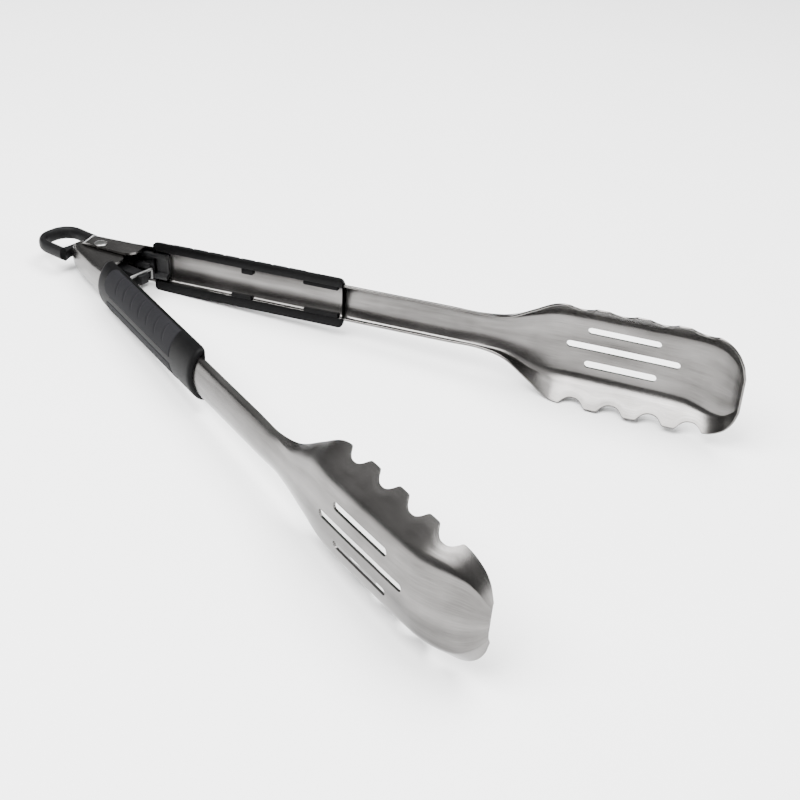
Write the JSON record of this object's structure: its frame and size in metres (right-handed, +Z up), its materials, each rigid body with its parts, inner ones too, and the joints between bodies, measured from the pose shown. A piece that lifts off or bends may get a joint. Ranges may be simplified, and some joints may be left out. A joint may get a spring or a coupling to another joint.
{
  "type": "locking kitchen tongs",
  "caption": "Spring-loaded locking kitchen tongs: two steel arms with slotted, toothed heads, dark soft-pad grips and a pull tab for locking and hanging",
  "frame": {"origin": "middle of the footprint, on the surface the open tongs lie on", "axes": "+X from the pull tab toward the heads, +Z up; the arms open sideways, the left arm toward +Y"},
  "size_m": [0.2866, 0.1714, 0.0452],
  "materials": {
    "steel": "brushed along the arm, satin",
    "pin_steel": "bright",
    "spring_steel": "bright wire",
    "grip_plastic": "satin black",
    "pad_rubber": "soft matte charcoal",
    "tab_plastic": "satin charcoal",
    "seat_plastic": "satin black",
    "bush_plastic": "satin"
  },
  "bodies": {
    "hinge_core": {"hinge_pin": "pin_steel", "hinge_bush": "bush_plastic", "hinge_springs": "spring_steel"},
    "left_half": {"left_arm": "steel", "left_grip": "grip_plastic", "left_upper_pad": "pad_rubber", "left_lower_pad": "pad_rubber", "left_seat": "seat_plastic"},
    "right_half": {"right_arm": "steel", "right_grip": "grip_plastic", "right_upper_pad": "pad_rubber", "right_lower_pad": "pad_rubber", "right_seat": "seat_plastic"},
    "tab": {"pull_tab": "tab_plastic", "lock_pin": "pin_steel"}
  },
  "joints": [
    {"name": "left_hinge", "type": "hinge", "parent": "hinge_core", "child": "left_half", "pos_m": [-0.10902, 0, 0.00932], "axis": [-0.0633, 0, 0.998], "range_deg": [-17.25, 0], "stiffness_Nm_per_rad": 0.8, "springref_deg": 11.46, "deforming": ["hinge_springs"]},
    {"name": "right_hinge", "type": "hinge", "parent": "hinge_core", "child": "right_half", "pos_m": [-0.10902, 0, 0.00932], "axis": [-0.0633, 0, 0.998], "range_deg": [0, 17.25], "stiffness_Nm_per_rad": 0.8, "springref_deg": -11.46, "deforming": ["hinge_springs"]},
    {"name": "tab_slide", "type": "slide", "parent": "hinge_core", "child": "tab", "axis": [-0.998, 0, -0.0633], "range_m": [0, 0.007]}
  ],
  "couplings": [
    {"joint": "right_hinge", "follows": "left_hinge", "ratio": -1}
  ]
}
